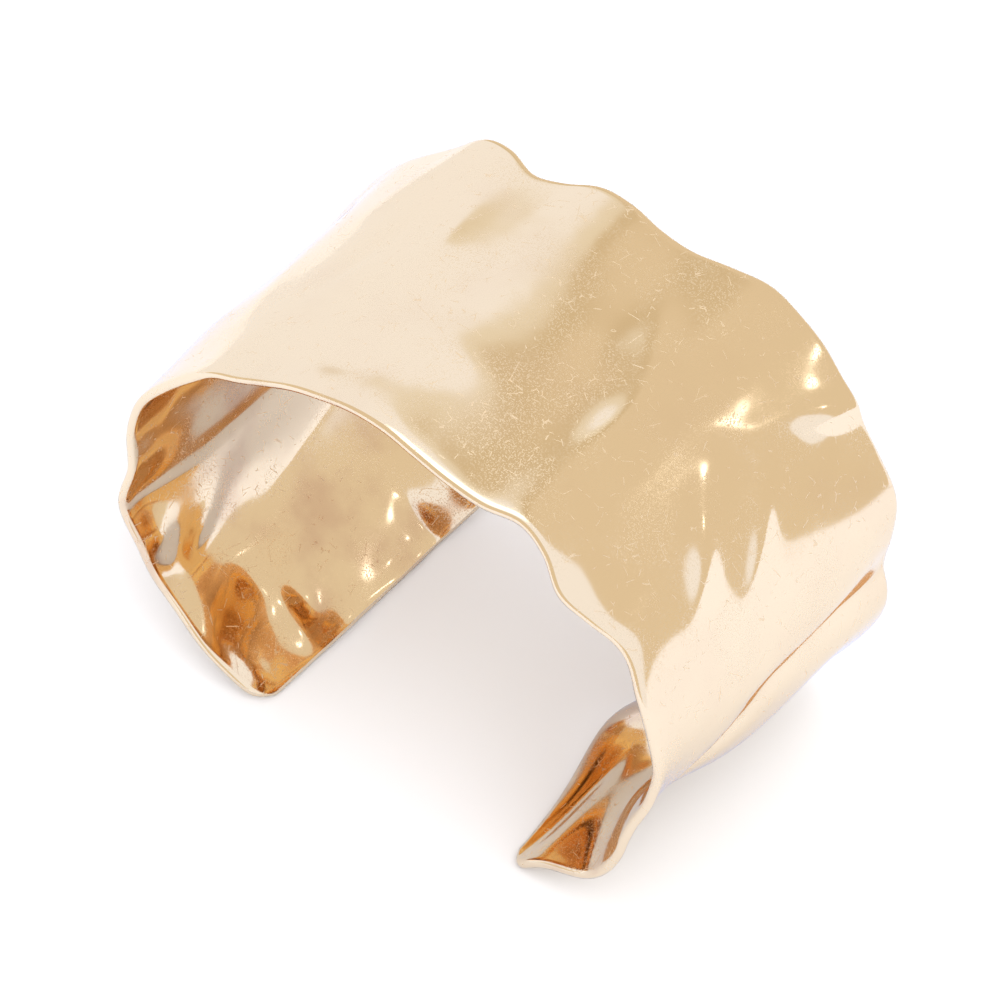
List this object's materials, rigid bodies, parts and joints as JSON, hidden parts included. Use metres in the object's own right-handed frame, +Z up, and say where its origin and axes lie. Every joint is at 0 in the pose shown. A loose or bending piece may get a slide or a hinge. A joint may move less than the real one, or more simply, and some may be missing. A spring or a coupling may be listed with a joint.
{
  "type": "cuff bracelet",
  "caption": "Wide open cuff bracelet of softly hammered polished gold sheet, bent in a C round the wrist, standing on its two free ends.",
  "frame": {"origin": "centre of the part's box in plan, at the surface that the two free ends stand on", "axes": "+Z up, from the free ends to the crown; the wrist passes along Y, with -Y the front; X runs across the gap between the ends"},
  "size_m": [0.0646, 0.0392, 0.0513],
  "materials": {
    "polished_gold": "gold-plated brass sheet, softly hammered and polished to a mirror, with fine hairline scratches"
  },
  "bodies": {
    "root": {"cuff": "polished_gold"}
  },
  "joints": []
}
